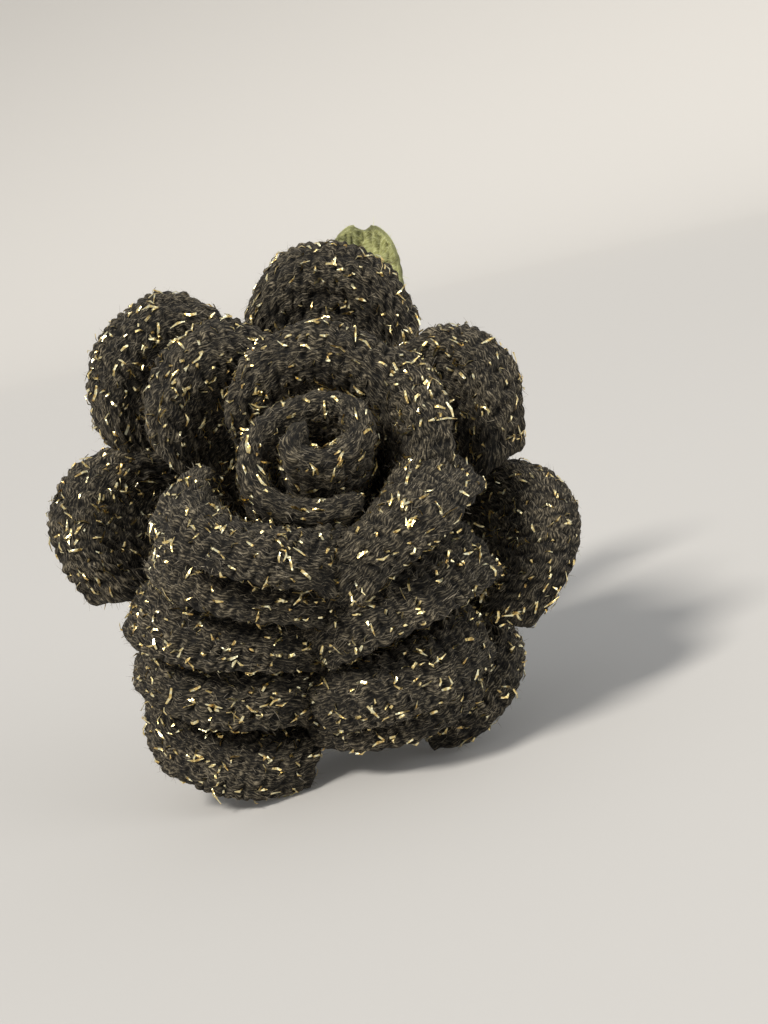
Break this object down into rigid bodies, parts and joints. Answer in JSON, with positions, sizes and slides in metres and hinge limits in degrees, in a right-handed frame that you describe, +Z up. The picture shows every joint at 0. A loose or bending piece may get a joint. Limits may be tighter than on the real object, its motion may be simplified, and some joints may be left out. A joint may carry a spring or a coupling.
{
  "type": "crocheted rose",
  "caption": "Life-size crocheted rose in near-black yarn with gold thread, rolled bud, curled petals, green calyx, one leaf and a wired green stem, lying as it rests on a table.",
  "frame": {"origin": "on the table, under the middle of the bounding box", "axes": "+Z up, the flower faces -Y and the stem runs back along +Y"},
  "size_m": [0.1218, 0.2078, 0.1253],
  "materials": {
    "black_yarn": "matte, fuzzy, with gold thread",
    "green_yarn": "matte",
    "leaf_yarn": "matte",
    "steel_wire": "drawn wire"
  },
  "bodies": {
    "root": {"bud": "black_yarn", "petal_heart_top": "black_yarn", "petal_heart_low": "black_yarn", "petal_inner_low_right": "black_yarn", "petal_inner_right": "black_yarn", "petal_inner_top_left": "black_yarn", "petal_inner_low_left": "black_yarn", "petal_middle_right": "black_yarn", "petal_middle_left": "black_yarn", "petal_under_right": "black_yarn", "petal_under_left": "black_yarn", "petal_outer_top": "black_yarn", "petal_outer_top_right": "black_yarn", "petal_outer_top_left": "black_yarn", "petal_outer_right": "black_yarn", "petal_outer_left": "black_yarn", "petal_outer_low_left": "black_yarn", "petal_outer_low": "black_yarn", "petal_outer_low_right": "black_yarn", "calyx": "green_yarn", "leaf": "leaf_yarn", "stem_wire": "steel_wire", "stem_cover": "green_yarn"}
  },
  "joints": []
}
